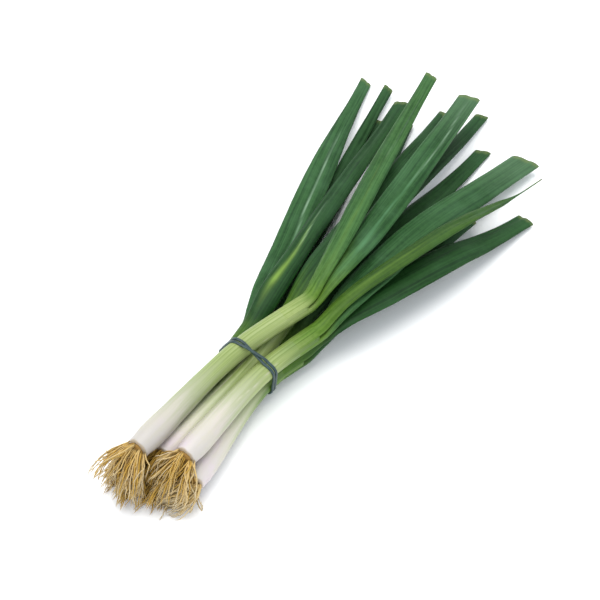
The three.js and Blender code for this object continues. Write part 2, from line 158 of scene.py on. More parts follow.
class Track:
    """A solid's centre line and smoothed outline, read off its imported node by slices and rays."""

    def __init__(self, node: bpy.types.Object, columns: int, spacing: float, skip: Tuple[float, float],
                 flatness: Callable[[float], float], orders: int, softness: float) -> None:
        """Reads the node.

        Args:
            node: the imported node.
            columns: how many points the outline has, from the top clockwise.
            spacing: length between two stations.
            skip: how far from its two ends the solid is first sliced.
            flatness: thickness over width of the outline at a length from the start.
            orders: waves round the outline that are kept, so that facets go.
            softness: length over which the outline is smoothed.
        """
        form = bmesh.new()
        form.from_mesh(node.data)
        bmesh.ops.remove_doubles(form, verts=form.verts[:], dist=MERGE)
        self.tree = BVHTree.FromBMesh(form)
        form.verts.index_update()
        self.corners = np.array([vertex.co[:] for vertex in form.verts])
        self.edges = np.array([[vertex.index for vertex in edge.verts] for edge in form.edges])
        form.free()
        self.columns = columns
        self.angles = [TURN * k / columns for k in range(columns)]
        self._find_line(spacing, skip)
        self._find_outlines(flatness, orders, softness)

    def _slice(self, place: np.ndarray, ahead: np.ndarray) -> Optional[np.ndarray]:
        """Middle of the box round the solid's cut by a plane, with the box's sides across and up."""
        heights = (self.corners - place) @ ahead
        first, second = heights[self.edges[:, 0]], heights[self.edges[:, 1]]
        cut = (first * second) < 0
        if cut.sum() < 3:
            return None
        share = (first[cut] / (first[cut] - second[cut]))[:, None]
        ends = self.corners[self.edges[cut, 0]], self.corners[self.edges[cut, 1]]
        points = ends[0] + (ends[1] - ends[0]) * share
        across = np.cross(ahead, UP)
        across = across / np.linalg.norm(across)
        away = np.cross(across, ahead)
        found = place.copy()
        for axis in (across, away):
            values = (points - place) @ axis
            found = found + axis * (values.min() + values.max()) / 2
        return found

    def _find_line(self, spacing: float, skip: Tuple[float, float]) -> None:
        """Finds the centre line by two rounds of slices, and straightens what is rough in it."""
        low, high = self.corners[:, 1].min() + skip[0], self.corners[:, 1].max() - skip[1]
        count = max(6, int(round((high - low) / spacing)))
        ahead = np.array([0.0, 1.0, 0.0])
        line = [self._slice(np.array([0.0, y, 0.0]), ahead) for y in np.linspace(low, high, count)]
        line = np.array([point for point in line if point is not None])
        for _ in range(2):
            straighten(line)
            line = np.array([
                point if found is None else found
                for point, found in ((p, self._slice(p, w)) for p, w in zip(line, ways_of(line)))
            ])
        straighten(line)
        self.line = line
        self.lengths = lengths_of(line)
        self.ways = ways_of(line)
        first, last = self.cross(0.0), self.cross(self.lengths[-1])
        self.start = -self._reach(first, -first.ahead)
        self.end = self.lengths[-1] + self._reach(last, last.ahead)

    def _reach(self, cross: Cross, way: Vector, x: float = 0.0, z: float = 0.0) -> float:
        """Length from a cross to the solid's end, at one point of the outline."""
        outside = cross.point(x, z) + way * CAST_REACH
        spot, _, _, distance = self.tree.ray_cast(outside, -way, CAST_REACH)
        return 0.0 if spot is None else CAST_REACH - distance

    def cross(self, length: float) -> Cross:
        """The cross at a length; past either end the line goes straight on."""
        inside = clamp(length, 0.0, self.lengths[-1])
        middle, ahead = (
            Vector([np.interp(inside, self.lengths, values[:, k]) for k in range(3)])
            for values in (self.line, self.ways)
        )
        ahead.normalize()
        middle = middle + ahead * (length - inside)
        across = ahead.cross(UP).normalized()
        return Cross(middle, ahead, across, across.cross(ahead))

    def _find_outlines(self, flatness: Callable[[float], float], orders: int, softness: float) -> None:
        """Finds the outline at each station and smooths it round and along."""
        rows = []
        for length in self.lengths:
            cross = self.cross(length)
            ratio = flatness(length - self.start)
            row = []
            for angle in self.angles:
                way = Vector((math.sin(angle), ratio * math.cos(angle)))
                way.normalize()
                row.append(self._outermost(cross, way))
            filled = np.array(row)
            known = np.flatnonzero(~np.isnan(filled[:, 0]))
            if len(known) < self.columns // 2:
                rows.append(rows[-1])
                continue
            for k in range(2):
                values = filled[known, k]
                filled[:, k] = np.interp(range(self.columns), known, values, period=self.columns)
            rows.append(low_pass(filled, orders))
        outlines = np.array(rows)
        spread = np.exp(-(((self.lengths[:, None] - self.lengths[None, :]) / softness) ** 2))
        spread = spread / spread.sum(axis=1)[:, None]
        self.outlines = np.einsum("ij,jkl->ikl", spread, outlines)

    def _outermost(self, cross: Cross, way: Vector) -> Tuple[float, float]:
        """Where the surface crosses a line from the centre for the last time, as x and z."""
        direction = cross.across * way.x + cross.away * way.y
        outside = cross.middle + direction * CAST_REACH
        spot, _, _, distance = self.tree.ray_cast(outside, -direction, CAST_REACH)
        if spot is None:
            return math.nan, math.nan
        radius = CAST_REACH - distance
        return way.x * radius, way.y * radius

    def outline(self, length: float) -> np.ndarray:
        """The outline at a length, as x and z for each column."""
        inside = clamp(length, 0.0, self.lengths[-1])
        right = clamp(int(np.searchsorted(self.lengths, inside)), 1, len(self.lengths) - 1)
        left = right - 1
        share = (inside - self.lengths[left]) / (self.lengths[right] - self.lengths[left])
        return self.outlines[left] * (1 - share) + self.outlines[right] * share

    def radii(self, length: float) -> np.ndarray:
        """The outline's distances from the centre line at a length."""
        return np.hypot(*self.outline(length).T)

    def radius(self, length: float, angle: float) -> float:
        """The outline's distance from the centre line at a length, in one direction."""
        return float(np.interp(angle, self.angles, self.radii(length), period=TURN))

    def end_cut(self) -> Tuple[float, float]:
        """The end's length on the centre line, and how it grows with x: the slant of the cut."""
        cross = self.cross(self.lengths[-1])
        shape = self.outline(self.lengths[-1])
        inset = 0.45 * MM
        found = []
        for x, z in shape:
            size = math.hypot(x, z)
            shrink = (size - inset) / size
            reach = self._reach(cross, cross.ahead, x * shrink, z * shrink)
            if reach > 0:
                found.append((x, self.lengths[-1] + reach))
        slope, middle = np.polyfit(*np.array(found).T, 1)
        return float(middle), float(slope)


def low_pass(shape: np.ndarray, orders: int) -> np.ndarray:
    """The same closed outline with only its slowest waves kept."""
    waves = np.fft.fft(shape[:, 0] + 1j * shape[:, 1])
    order = np.abs(np.fft.fftfreq(len(waves), 1 / len(waves)))
    waves[order > orders] = 0
    smooth = np.fft.ifft(waves)
    return np.stack([smooth.real, smooth.imag], axis=1)


# Making meshes


@dataclass
class Spot:
    """One point of a rolled sheet with what its material reads."""

    place: Vector
    grain: Vector
    marks: Vector = field(default_factory=Vector)


def rolled_sheet(columns: int, rows: int, spot: Callable[[int, int], Spot],
                 ring: bool = False) -> bmesh.types.BMesh:
    """Rolls a grid into a closed tube and moves its points.

    Args:
        columns: faces round the tube.
        rows: faces along it.
        spot: gives the point at a row and a column.
        ring: whether the last row meets the first one.

    Returns:
        The bmesh, with its seam merged.
    """
    form = bmesh.new()
    form.loops.layers.uv.new("UVMap")
    grain = form.verts.layers.float_vector.new("grain")
    marks = form.verts.layers.float_vector.new("marks")
    made = bmesh.ops.create_grid(form, x_segments=columns, y_segments=rows, size=0.5, calc_uvs=True)
    for vertex in made["verts"]:
        column = int(round((vertex.co.x + 0.5) * columns)) % columns
        row = int(round((vertex.co.y + 0.5) * rows))
        if ring:
            row %= rows
        found = spot(row, column)
        vertex.co = found.place
        vertex.co.z = max(vertex.co.z, 0.0)
        vertex[grain] = found.grain
        vertex[marks] = found.marks
    bmesh.ops.remove_doubles(form, verts=form.verts[:], dist=MERGE)
    return form


def mesh_of(form: bmesh.types.BMesh, name: str, material: bpy.types.Material) -> bpy.types.Mesh:
    """Turns a bmesh into a mesh with a material."""
    mesh = bpy.data.meshes.new(name)
    form.to_mesh(mesh)
    form.free()
    mesh.materials.append(material)
    return mesh


def placed(name: str, data: bpy.types.ID) -> bpy.types.Object:
    """A new object in the scene."""
    made = bpy.data.objects.new(name, data)
    bpy.context.scene.collection.objects.link(made)
    return made


def finished(form: bmesh.types.BMesh, name: str, material: bpy.types.Material,
             nodes: Sequence[str]) -> bpy.types.Object:
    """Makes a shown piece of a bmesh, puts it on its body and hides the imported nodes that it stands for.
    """
    bmesh.ops.recalc_face_normals(form, faces=form.faces[:])
    for face in form.faces:
        face.smooth = True
    mesh = mesh_of(form, name, material)
    piece = placed(name, mesh)
    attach(piece, BODY)
    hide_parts(*nodes)
    LOG.info("%s: %d faces", name, len(mesh.polygons))
    return piece


# Shader maths


class Signal:
    """What a node gives out. Arithmetic on it adds Math nodes."""

    def __init__(self, shader: "Shader", socket: bpy.types.NodeSocket) -> None:
        """Keeps the socket and the shader that it is in."""
        self.shader = shader
        self.socket = socket

    def _math(self, operation: str, first: "Operand", second: "Operand") -> "Signal":
        """One Math node."""
        return self.shader.node("ShaderNodeMath", {"operation": operation}, {0: first, 1: second})

    def __add__(self, other: "Operand") -> "Signal":
        """Self plus other."""
        return self._math("ADD", self, other)

    def __sub__(self, other: "Operand") -> "Signal":
        """Self minus other."""
        return self._math("SUBTRACT", self, other)

    def __rsub__(self, other: "Operand") -> "Signal":
        """Other minus self."""
        return self._math("SUBTRACT", other, self)

    def __mul__(self, other: "Operand") -> "Signal":
        """Self times other."""
        return self._math("MULTIPLY", self, other)

    __radd__ = __add__
    __rmul__ = __mul__

    def smooth(self, low: float, high: float) -> "Signal":
        """Goes smoothly from 0 where self is low to 1 where it is high."""
        settings = {"interpolation_type": "SMOOTHSTEP", "clamp": True}
        inputs = {0: self, 1: low, 2: high, 3: 0.0, 4: 1.0}
        return self.shader.node("ShaderNodeMapRange", settings, inputs)


Operand = Union[Signal, Number, Sequence[float]]


class Shader:
    """A material's node tree, with a short way to each kind of node that the finishes use."""

    def __init__(self, name: str) -> None:
        """Makes an empty material under a name."""
        self.material = bpy.data.materials.new(name)
        self.material.use_nodes = True
        self.tree = self.material.node_tree
        self.surface = self.tree.nodes["Principled BSDF"]

    def node(self, kind: str, settings: Dict[str, object], inputs: Dict[Union[int, str], Operand],
             output: int = 0) -> Signal:
        """Adds a node.

        Args:
            kind: the node's type.
            settings: the node's own properties; they are set first.
            inputs: values or links, by the sockets' names or places.
            output: the place of the output that is wanted.

        Returns:
            That output.
        """
        added = self.tree.nodes.new(kind)
        for key, value in settings.items():
            setattr(added, key, value)
        for key, value in inputs.items():
            self._feed(added.inputs[key], value)
        return Signal(self, added.outputs[output])

    def _feed(self, socket: bpy.types.NodeSocket, value: Operand) -> None:
        """Links a signal to a socket, or sets the socket's own value."""
        if isinstance(value, Signal):
            self.tree.links.new(value.socket, socket)
        elif socket.type == "RGBA" and len(value) == 3:
            socket.default_value = (*value, 1.0)
        else:
            socket.default_value = value

    def set(self, **inputs: Operand) -> None:
        """Sets or links the surface's sockets; an underscore in a name stands for a space."""
        for key, value in inputs.items():
            self._feed(self.surface.inputs[key.replace("_", " ")], value)

    def attribute(self, name: str) -> Signal:
        """The vector that the mesh keeps under a name."""
        return self.node("ShaderNodeAttribute", {"attribute_name": name}, {}, output=1)

    def parts(self, vector: Signal) -> Tuple[Signal, Signal, Signal]:
        """A vector's three numbers."""
        node = self.node("ShaderNodeSeparateXYZ", {}, {0: vector}).socket.node
        return tuple(Signal(self, node.outputs[k]) for k in range(3))

    def place(self) -> Signal:
        """Object coordinates."""
        return self.node("ShaderNodeTexCoord", {}, {}, output=3)

    def stretched(self, vector: Signal, factors: Sequence[float]) -> Signal:
        """A vector with each of its numbers times a factor."""
        return self.node("ShaderNodeVectorMath", {"operation": "MULTIPLY"}, {0: vector, 1: factors})

    def noise(self, vector: Signal, scale: float = 1.0, detail: float = 2.0,
              roughness: float = 0.5) -> Signal:
        """Soft noise from 0 to 1."""
        inputs = {"Vector": vector, "Scale": scale, "Detail": detail, "Roughness": roughness}
        return self.node("ShaderNodeTexNoise", {}, inputs)

    def mix(self, share: Operand, first: Operand, second: Operand) -> Signal:
        """A colour from the first to the second."""
        settings = {"data_type": "RGBA", "clamp_factor": True}
        return self.node("ShaderNodeMix", settings, {0: share, 6: first, 7: second}, output=2)

    def bump(self, height: Signal, depth: float, strength: float) -> Signal:
        """A normal for relief of that depth in metres."""
        inputs = {"Strength": strength, "Distance": depth, "Height": height}
        return self.node("ShaderNodeBump", {}, inputs)


# Finishes


class Tone(Enum):
    """The leaf greens of the bunch."""

    DEEP = "deep"
    TEAL = "teal"
    FRESH = "fresh"
    LIGHT = "light"


@dataclass(frozen=True)
class StalkFinish:
    """The yellow-green skin that a stem and the feet of its leaves share."""

    shade: Colour = (0.180, 0.240, 0.060)
    light: Colour = (0.310, 0.372, 0.145)
    young_shade: Colour = (0.040, 0.098, 0.006)
    young_light: Colour = (0.100, 0.188, 0.024)
    greening: Ramp = (-18 * MM, 26 * MM)
    vein_scale: Scale = (900.0, 900.0, 8.0)
    thread_scale: Scale = (3000.0, 3000.0, 28.0)
    streak_scale: Scale = (260.0, 260.0, 10.0)
    straying: float = 50 * MM

    def veins(self, shader: Shader, grain: Signal) -> Tuple[Signal, Signal, Signal]:
        """Lengthwise veins, fine threads and broad streaks, which run on from a stem to its leaves."""
        veins = shader.noise(shader.stretched(grain, self.vein_scale), detail=2.0, roughness=0.6)
        threads = shader.noise(shader.stretched(grain, self.thread_scale), detail=1.0)
        streaks = shader.noise(shader.stretched(grain, self.streak_scale), detail=2.0)
        return veins, threads, streaks

    def strayed(self, length: Signal, streaks: Signal) -> Signal:
        """A length that the streaks push on or hold back, so that a ramp along it ends in tongues."""
        return length + (streaks - 0.5) * self.straying

    def colour(self, shader: Shader, vein: Signal, green: Signal) -> Signal:
        """The skin's colour at a vein and at how far it has turned green."""
        pale = shader.mix(vein, self.shade, self.light)
        young = shader.mix(vein, self.young_shade, self.young_light)
        return shader.mix(green.smooth(*self.greening), pale, young)


@dataclass(frozen=True)
class LeafFinish:
    """A waxy green leaf: fine veins, pale collar, dry cut, a fold line partly paler crease and partly
    painted highlight.
    """

    tone: Tone
    dark: Colour
    light: Colour
    stalk: StalkFinish = StalkFinish()
    bloom: Colour = (0.055, 0.140, 0.062)
    dustiness: float = 0.20
    # The line along the fold: partly the crease's own paler green, partly painted highlight on its ridge.
    young_fold_highlight: Colour = (0.220, 0.360, 0.060)
    fold: Colour = (0.260, 0.390, 0.260)
    cut: Colour = (0.150, 0.190, 0.060)
    dry: Colour = (0.090, 0.085, 0.035)
    hollow: Colour = (0.050, 0.100, 0.025)
    veining: Ramp = (0.46, 0.80)
    darkening: Ramp = (22 * MM, 82 * MM)
    dust_clouds: Ramp = (0.40, 0.78)
    dust_start: Ramp = (10 * MM, 60 * MM)
    fold_highlight_paling: Ramp = (125 * MM, 165 * MM)
    tip_fading: Ramp = (45 * MM, 4 * MM)
    drying: Ramp = (4.0 * MM, 0.4 * MM)
    rim: Ramp = (0.7 * MM, 0.05 * MM)
    mouth: Ramp = (-0.1 * MM, -0.5 * MM)
    relief: float = 0.16 * MM

    def material(self) -> bpy.types.Material:
        """The material."""
        shader = Shader(f"leaf_{self.tone.value}")
        # The first mark is the pale line along the fold, partly painted highlight, and the paler tip.
        fold, to_tip, green = shader.parts(shader.attribute("marks"))
        veins, threads, streaks = self.stalk.veins(shader, shader.attribute("grain"))
        clouds = shader.noise(shader.place(), scale=38.0, detail=3.0)
        mottle = shader.noise(shader.place(), scale=330.0, detail=3.0, roughness=0.65)
        reached = self.stalk.strayed(green, streaks)
        vein = (veins * 0.6 + threads * 0.15 + streaks * 0.35 + mottle * 0.2).smooth(*self.veining)
        blade = shader.mix(vein, self.dark, self.light)
        colour = self.stalk.colour(shader, vein, reached)
        colour = shader.mix(reached.smooth(*self.darkening), colour, blade)
        dusty = clouds.smooth(*self.dust_clouds) * self.dustiness * reached.smooth(*self.dust_start)
        colour = shader.mix(dusty, colour, self.bloom)
        # Paint the line along the fold, partly paler crease and partly painted highlight, and the paler
        # tip.
        fold_highlight_and_tip = shader.mix(reached.smooth(*self.fold_highlight_paling), self.young_fold_highlight, self.fold)
        colour = shader.mix(fold * (0.45 + 0.55 * streaks), colour, fold_highlight_and_tip)
        colour = shader.mix(to_tip.smooth(*self.tip_fading) * 0.12, colour, self.bloom)
        dried = (to_tip + (veins - 0.5) * (6 * MM)).smooth(*self.drying)
        colour = shader.mix(dried * 0.5, colour, self.cut)
        rim = (to_tip + (streaks - 0.5) * (2 * MM)).smooth(*self.rim)
        colour = shader.mix(rim * 0.6, colour, self.dry)
        colour = shader.mix(to_tip.smooth(*self.mouth), colour, self.hollow)
        relief = shader.bump(veins * 0.7 + threads * 0.3, self.relief, 0.8)
        shader.set(Base_Color=colour, Roughness=0.42 + 0.2 * clouds, Normal=relief)
        shader.set(Specular_IOR_Level=0.14, Subsurface_Weight=0.0)
        return shader.material


LEAF_FINISHES = (
    LeafFinish(Tone.DEEP, dark=(0.002, 0.020, 0.003), light=(0.014, 0.057, 0.012)),
    LeafFinish(Tone.TEAL, dark=(0.005, 0.033, 0.006), light=(0.030, 0.096, 0.027),
               # This green's bluish line along the fold is painted sheen.
               young_fold_highlight=(0.085, 0.215, 0.100), bloom=(0.070, 0.160, 0.078), dustiness=0.30),
    LeafFinish(Tone.FRESH, dark=(0.009, 0.043, 0.006), light=(0.044, 0.120, 0.030)),
    LeafFinish(Tone.LIGHT, dark=(0.008, 0.033, 0.002), light=(0.038, 0.088, 0.008)),
)


@dataclass(frozen=True)
class ShankFinish:
    """White, pink-tinged bulb skin that turns to pale yellow-green up the stem."""

    stalk: StalkFinish = StalkFinish()
    white: Colour = (0.470, 0.438, 0.405)
    pink: Colour = (0.510, 0.435, 0.468)
    cream: Colour = (0.465, 0.440, 0.345)
    pale: Colour = (0.345, 0.372, 0.230)
    shadow: Colour = (0.200, 0.235, 0.090)
    skin: Colour = (0.330, 0.250, 0.150)
    # A factor on the bulb's colours: painted light that evens out how brightly each bulb is lit.
    painted_light_factor: float = 1.0
    blushing: Ramp = (0.44, 0.66)
    veining: Ramp = (0.40, 0.76)
    creaming: Ramp = (12 * MM, 34 * MM)
    whitening: Ramp = (28 * MM, 58 * MM)
    lining: Ramp = (30 * MM, 80 * MM)
    greening: Ramp = (50 * MM, 82 * MM)
    relief: float = 0.14 * MM
    glow_depth: float = 2.5 * MM

    def material(self, name: str) -> bpy.types.Material:
        """The material under a name."""
        # The bulb's colours times that factor, painted light.
        white, pink, cream, pale = (
            tuple(value * self.painted_light_factor for value in colour)
            for colour in (self.white, self.pink, self.cream, self.pale)
        )
        shader = Shader(name)
        from_plate, edge, green = shader.parts(shader.attribute("marks"))
        veins, threads, streaks = self.stalk.veins(shader, shader.attribute("grain"))
        clouds = shader.noise(shader.place(), scale=70.0, detail=2.0)
        vein = (veins * 0.6 + threads * 0.2 + streaks * 0.35).smooth(*self.veining)
        reached = self.stalk.strayed(from_plate, streaks) + (veins - 0.5) * (20 * MM)
        colour = shader.mix(clouds.smooth(*self.blushing) * 0.7, white, pink)
        colour = shader.mix(reached.smooth(*self.creaming) * 0.6, colour, cream)
        colour = shader.mix(reached.smooth(*self.whitening), colour, pale)
        lined = (1 - vein) * reached.smooth(*self.lining)
        colour = shader.mix(lined * 0.5, colour, self.shadow)
        stalk = self.stalk.colour(shader, vein, self.stalk.strayed(green, streaks))
        colour = shader.mix(reached.smooth(*self.greening), colour, stalk)
        colour = shader.mix(edge.smooth(0.0, 1.0) * 0.5, colour, cream)
        colour = shader.mix(edge.smooth(-0.2, -0.9) * (0.5 + 0.6 * threads), colour, self.skin)
        relief = shader.bump(veins * 0.7 + threads * 0.3, self.relief, 0.7)
        shader.set(Base_Color=colour, Roughness=0.36 + 0.16 * streaks, Normal=relief)
        shader.set(Subsurface_Weight=0.18, Subsurface_Radius=(0.9, 0.9, 0.6))
        shader.set(Subsurface_Scale=self.glow_depth, Specular_IOR_Level=0.35)
        return shader.material


@dataclass(frozen=True)
class RootFinish:
    """Dry, matted roots, golden brown inside the tuft and pale straw outside; the gold is partly painted
    shade.
    """

    gold: Colour = (0.47, 0.285, 0.050)
    straw: Colour = (0.58, 0.42, 0.18)
    pale: Colour = (0.58, 0.48, 0.31)
    earth: Colour = (0.20, 0.105, 0.03)
    relief: float = 0.12 * MM

    def material(self) -> bpy.types.Material:
        """The material."""
        shader = Shader("onion_roots")
        share, tone, depth = shader.parts(shader.attribute("grain"))
        spots = shader.noise(shader.place(), scale=420.0, detail=3.0, roughness=0.65)
        # Golden brown on low onions' roots and deep in the tuft: partly the roots' own colour, partly
        # painted shade.
        colour = shader.mix(tone.smooth(0.15, 0.75), self.gold, self.straw)
        colour = shader.mix((tone * 0.5 + share * 0.6).smooth(0.5, 1.05), colour, self.pale)
        colour = shader.mix(depth * 0.75, colour, self.gold)
        colour = shader.mix(depth.smooth(1.0, 1.4) * 0.8, colour, self.earth)
        colour = shader.mix(spots.smooth(0.58, 0.75) * 0.45 * (1 - tone), colour, self.earth)
        relief = shader.bump(spots, self.relief, 0.6)
        shader.set(Base_Color=colour, Roughness=0.72 + 0.2 * spots, Normal=relief)
        shader.set(Specular_IOR_Level=0.25)
        return shader.material


@dataclass(frozen=True)
class BandFinish:
    """Dark blue-green rubber with a dusty bloom and paler edges, partly wear and partly painted highlight.
    """

    rubber: Colour = (0.008, 0.028, 0.030)
    dust: Colour = (0.032, 0.078, 0.078)
    wear_and_highlight: Colour = (0.070, 0.140, 0.132)
    relief: float = 0.05 * MM

    def material(self) -> bpy.types.Material:
        """The material."""
        shader = Shader("rubber_band")
        edge, _, _ = shader.parts(shader.attribute("grain"))
        spots = shader.noise(shader.place(), scale=620.0, detail=3.0, roughness=0.6)
        clouds = shader.noise(shader.place(), scale=90.0, detail=2.0)
        colour = shader.mix(clouds.smooth(0.35, 0.75) * 0.55, self.rubber, self.dust)
        # Paler edges on the band's sides: partly wear, partly painted highlight.
        colour = shader.mix(edge.smooth(0.55, 1.0) * 0.5 * spots.smooth(0.3, 0.7), colour, self.wear_and_highlight)
        relief = shader.bump(spots, self.relief, 0.5)
        shader.set(Base_Color=colour, Roughness=0.38 + 0.2 * clouds, Normal=relief)
        shader.set(Specular_IOR_Level=0.5)
        return shader.material


@dataclass(frozen=True)
class TableFinish:
    """Plain, pale, matt."""

    white: Colour = (0.97, 0.97, 0.97)

    def material(self) -> bpy.types.Material:
        """The material."""
        shader = Shader("table")
        shader.set(Base_Color=self.white, Roughness=0.9, Specular_IOR_Level=0.0)
        return shader.material


# Pieces of the bunch


@dataclass(frozen=True)
class LeafStyle:
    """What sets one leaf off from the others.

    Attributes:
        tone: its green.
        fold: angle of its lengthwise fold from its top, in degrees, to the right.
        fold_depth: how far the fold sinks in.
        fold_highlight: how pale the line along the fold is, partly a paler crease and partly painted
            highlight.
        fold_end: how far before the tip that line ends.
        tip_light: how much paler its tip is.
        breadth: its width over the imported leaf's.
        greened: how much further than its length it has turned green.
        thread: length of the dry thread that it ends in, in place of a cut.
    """

    tone: Tone = Tone.FRESH
    fold: float = 0.0
    fold_depth: float = 0.7 * MM
    fold_highlight: float = 0.0
    fold_end: float = 0.0
    tip_light: float = 0.0
    breadth: float = 1.0
    greened: float = 0.0
    thread: float = 0.0


@dataclass(frozen=True)
class Foot:
    """Where one column of a leaf leaves its stem.

    Attributes:
        angle: its direction from the stem's centre line.
        share: its distance from there over the stem's radius.
        on_stem: its place across the stem.
        on_leaf: its place across the leaf.
    """

    angle: float
    share: float
    on_stem: Tuple[float, float]
    on_leaf: Tuple[float, float]


@dataclass
class Leaf:
    """One hollow, flattened leaf, from the sheath on its stem to its cut."""

    node: str
    style: LeafStyle
    seed: int
    stem_greened: float
    columns: int = 40
    row_length: float = 3.0 * MM
    wall: float = 0.8 * MM
    hollow_depth: float = 22 * MM
    sheath: float = 18 * MM
    sheath_rise: float = 0.05 * MM
    sheath_fading: float = 6 * MM
    parting: float = 16 * MM
    cap_depth: float = 0.8 * MM
    flatness: float = 0.36
    outer_feet: Ramp = (0.62, 0.86)
    lip: float = 0.22 * MM
    hollow_rows: Tuple[float, ...] = (0.2, 0.5, 1.0)
    flattening: Ramp = (0.0, 34 * MM)
    broadening: Ramp = (15 * MM, 70 * MM)
    folding: Ramp = (8 * MM, 60 * MM)
    fold_width: float = 0.34
    # Width and extent of the line along the fold, partly paler crease and partly painted highlight.
    highlight_width: Ramp = (0.24, 0.075)
    highlight_narrowing: Ramp = (30 * MM, 95 * MM)
    highlight_start: Ramp = (10 * MM, 40 * MM)
    highlight_fading: float = 30 * MM
    tip_reach: Ramp = (55 * MM, 5 * MM)
    slanting: float = 30 * MM
    ripple: float = 0.16 * MM
    deepest_sink: float = 0.55
    thread_radius: float = 0.4 * MM
    thread_reach: Ramp = (1.7, 0.75)
    track: Track = field(init=False, repr=False)

    def follow(self, node: bpy.types.Object) -> None:
        """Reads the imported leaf."""
        def flat(length: float) -> float:
            """Thickness over width at a length from the collar."""
            return 1 + (self.flatness - 1) * ease(length, *self.flattening)

        self.track = Track(node, self.columns, spacing=4 * MM, skip=(9 * MM, 9 * MM), flatness=flat,
                           orders=6, softness=5 * MM)

    def _feet(self, shank: Track) -> List[Foot]:
        """Where each column of the leaf leaves its stem."""
        end = shank.cross(shank.end)
        beyond = self.track.corners - np.array(end.middle)
        cap = beyond[beyond @ np.array(end.ahead) < self.cap_depth]
        middle = []
        for axis in (end.across, end.away):
            values = cap @ np.array(axis)
            middle.append(float(values.min() + values.max()) / 2)
        feet = []
        for x, z in self.track.outline(0.0):
            across, away = middle[0] + x, middle[1] + z
            size = math.hypot(across, away)
            angle = math.atan2(across, away) % (TURN)
            radius = shank.radius(shank.end, angle)
            outer = ease(size / radius, *self.outer_feet)
            grown = size + (radius + self.sheath_rise - size) * outer
            feet.append(Foot(angle, grown / radius, (across, away), (x, z)))
        return feet

    def _rows(self) -> List[Tuple[float, float, float]]:
        """Length, inset and whether it is inside, for each row of the skin from the collar on."""
        end, _ = self.track.end_cut()
        start = self.track.start - self.sheath
        count = int(round((end - start) / self.row_length))
        reach = end - 0.2 * MM - start
        rows = [(start, 1.0, 0.0)]
        rows += [(start + reach * k / count, 0.0, 0.0) for k in range(count + 1)]
        if self.style.thread:
            return rows + [(end, 1.0, 0.0)]
        rows += [(end, self.lip, 0.3), (end, self.wall - self.lip, 0.6), (end - 0.3 * MM, self.wall, 1.0)]
        rows += [(end - self.hollow_depth * share, self.wall, 1.0) for share in self.hollow_rows]
        return rows + [(end - self.hollow_depth, 1.0, 1.0)]

    def skin(self, shank: Track) -> bmesh.types.BMesh:
        """The leaf's closed skin.

        Args:
            shank: the stem that the leaf comes out of.

        Returns:
            The sheath on the stem, the leaf's outside, the rim of its cut and its hollow.
        """
        style = self.style
        rows = self._rows()
        feet = self._feet(shank)
        end, slant = self.track.end_cut()
        wander, swell = Drift(self.seed, 90 * MM), Drift(self.seed + 50, 34 * MM)
        wave = Drift(self.seed + 90, 26 * MM)
        angles = self.track.angles
        start = self.track.start

        def fold_highlight_and_tip(length: float, beside: float) -> float:
            """How strong the line along the fold is, partly paler crease and partly painted highlight, and
            how pale the tip is.
            """
            gone = length - start
            width = self.highlight_width[0]
            width += (self.highlight_width[1] - width) * ease(gone, *self.highlight_narrowing)
            line = bell(beside, width) * style.fold_highlight * ease(gone, *self.highlight_start)
            stop = end - style.fold_end
            line = line * (1 - ease(length, stop - self.highlight_fading, stop))
            line = line * (0.8 + 0.3 * swell(length * 1.7))
            far, near = self.tip_reach
            return line + (1 - line) * style.tip_light * ease(length, end - far, end - near)

        def spot(row: int, column: int) -> Spot:
            """One point of the skin."""
            length, inset, inside = rows[row]
            gone = length - start
            angle = angles[column]
            foot = feet[column]
            if length < start:
                return self._on_stem(shank, foot, gone, 0.0 if inset >= 1.0 else 1.0)
            shape = self.track.outline(length)
            x, z = shape[column]
            x *= 1 + (style.breadth - 1) * ease(gone, *self.broadening)
            half_width, half_height = np.abs(shape).max(axis=0)
            folded = ease(gone, *self.folding)
            beside = turned(angle - (math.radians(style.fold) + 0.25 * wander(length)))
            sink = style.fold_depth * folded * (0.75 + 0.35 * swell(length)) * bell(beside, self.fold_width)
            sink += self.ripple * folded * wave(length + 4 * MM * column)
            sink = min(sink, self.deepest_sink * half_height)
            if inset >= 1.0:
                x, z = 0.0, 0.0
            elif inset > 0:
                x, z = x * (1 - inset / half_width), z * (1 - inset / half_height)
            if style.thread and inset < 1.0:
                far, near = (end - share * style.thread for share in self.thread_reach)
                dried = ease(length, far, near)
                x += (math.sin(angle) * self.thread_radius - x) * dried
                z += (math.cos(angle) * self.thread_radius - z) * dried
                sink = sink * (1 - dried)
            if inset < 1.0:
                size = math.hypot(x / half_width, z / half_height) or 1.0
                x -= sink * (x / half_width) / size * 0.3
                z -= sink * (z / half_height) / size
            shifted = length + slant * x * ease(length, end - self.slanting, end)
            parted = ease(gone, 0, self.parting)
            on_stem = self._on_stem(shank, foot, gone, 1.0).place
            place = on_stem.lerp(self.track.cross(shifted).point(x, z), parted)
            across, away = foot.on_stem[0] - foot.on_leaf[0], foot.on_stem[1] - foot.on_leaf[1]
            to_tip = -inside * MM if inside else (end - length) * (0.2 if style.thread else 1.0)
            greened = self.stem_greened + (style.greened - self.stem_greened) * parted
            # The first mark is the fold line, partly painted highlight, and the paler tip.
            marks = Vector((fold_highlight_and_tip(length, beside), to_tip, gone + greened))
            return Spot(place, Vector((across + x, away + z, gone)), marks)

        return rolled_sheet(self.columns, len(rows) - 1, spot)

